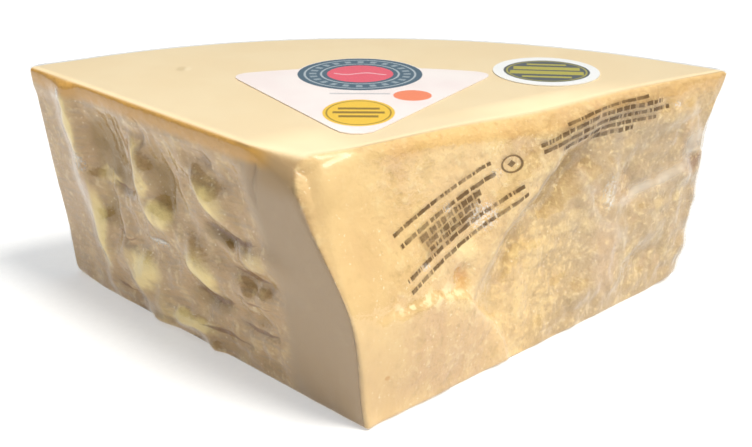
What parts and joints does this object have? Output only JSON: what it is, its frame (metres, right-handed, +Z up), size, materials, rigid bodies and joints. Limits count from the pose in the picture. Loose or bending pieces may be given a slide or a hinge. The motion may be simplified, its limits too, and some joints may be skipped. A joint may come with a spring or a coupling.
{
  "type": "wedge of hard grating cheese in clear film",
  "caption": "Thick sector cut from a wheel of hard, aged grating cheese, in tight clear film, with a printed triangular label and a round sticker on its smooth flat rind.",
  "frame": {"origin": "on the base plane, under the middle of the sector", "axes": "+Z up, the corner that was the wheel's centre points to -Y, the rind's arc is towards +Y, +X along the longest extent"},
  "size_m": [0.3182, 0.2245, 0.1044],
  "materials": {
    "cheese_in_film": "cut hard cheese seen through tight, glossy clear film",
    "label_print": "printed film label, satin",
    "sticker_print": "printed paper sticker, satin"
  },
  "bodies": {
    "root": {"wedge": "cheese_in_film", "label": "label_print", "sticker": "sticker_print"}
  },
  "joints": []
}
